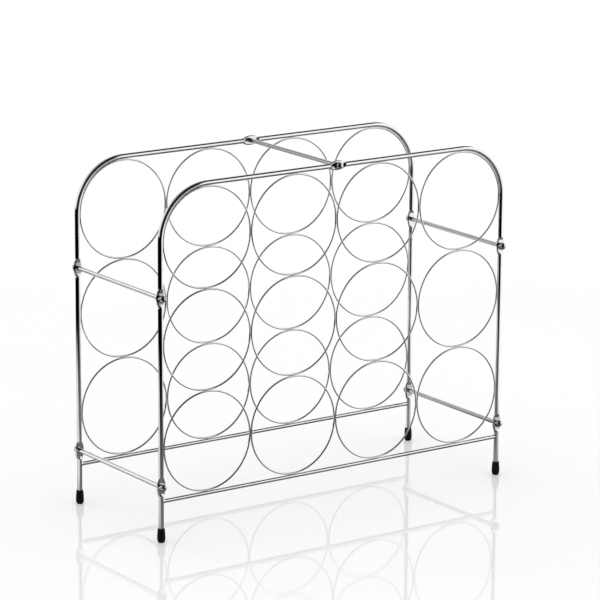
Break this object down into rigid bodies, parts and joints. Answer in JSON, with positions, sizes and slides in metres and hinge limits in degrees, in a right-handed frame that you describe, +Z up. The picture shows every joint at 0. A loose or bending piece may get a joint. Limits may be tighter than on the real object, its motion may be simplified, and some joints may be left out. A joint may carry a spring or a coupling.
{
  "type": "wine rack",
  "caption": "Freestanding wine rack: two bent-rod frames with wire rings that hold lying bottles, joined by crossbars with cap nuts, on rubber-capped legs.",
  "frame": {"origin": "on the floor, under the middle of the rack", "axes": "+X to the right along the frames, +Y from the front frame to the back frame along the bottles, +Z up"},
  "size_m": [0.4148, 0.1646, 0.3499],
  "materials": {
    "chromed_rod": "bright polished chrome plate on steel rod",
    "chromed_wire": "bright chrome plate on thin steel wire",
    "nut_plating": "bright plated pressed cap nut",
    "foot_rubber": "matte black moulded rubber"
  },
  "bodies": {
    "root": {"front_hoop": "chromed_rod", "front_bottom_rail": "chromed_rod", "front_ring_bottom_1": "chromed_wire", "front_ring_bottom_2": "chromed_wire", "front_ring_bottom_3": "chromed_wire", "front_ring_bottom_4": "chromed_wire", "front_ring_middle_1": "chromed_wire", "front_ring_middle_2": "chromed_wire", "front_ring_middle_3": "chromed_wire", "front_ring_middle_4": "chromed_wire", "front_ring_top_1": "chromed_wire", "front_ring_top_2": "chromed_wire", "front_ring_top_3": "chromed_wire", "front_ring_top_4": "chromed_wire", "front_top_cap_nut": "nut_plating", "front_upper_left_cap_nut": "nut_plating", "front_upper_right_cap_nut": "nut_plating", "front_lower_left_cap_nut": "nut_plating", "front_lower_right_cap_nut": "nut_plating", "front_left_foot": "foot_rubber", "front_right_foot": "foot_rubber", "back_hoop": "chromed_rod", "back_bottom_rail": "chromed_rod", "back_ring_bottom_1": "chromed_wire", "back_ring_bottom_2": "chromed_wire", "back_ring_bottom_3": "chromed_wire", "back_ring_bottom_4": "chromed_wire", "back_ring_middle_1": "chromed_wire", "back_ring_middle_2": "chromed_wire", "back_ring_middle_3": "chromed_wire", "back_ring_middle_4": "chromed_wire", "back_ring_top_1": "chromed_wire", "back_ring_top_2": "chromed_wire", "back_ring_top_3": "chromed_wire", "back_ring_top_4": "chromed_wire", "back_top_cap_nut": "nut_plating", "back_upper_left_cap_nut": "nut_plating", "back_upper_right_cap_nut": "nut_plating", "back_lower_left_cap_nut": "nut_plating", "back_lower_right_cap_nut": "nut_plating", "back_left_foot": "foot_rubber", "back_right_foot": "foot_rubber", "top_crossbar": "chromed_rod", "upper_left_crossbar": "chromed_rod", "upper_right_crossbar": "chromed_rod", "lower_left_crossbar": "chromed_rod", "lower_right_crossbar": "chromed_rod"}
  },
  "joints": []
}
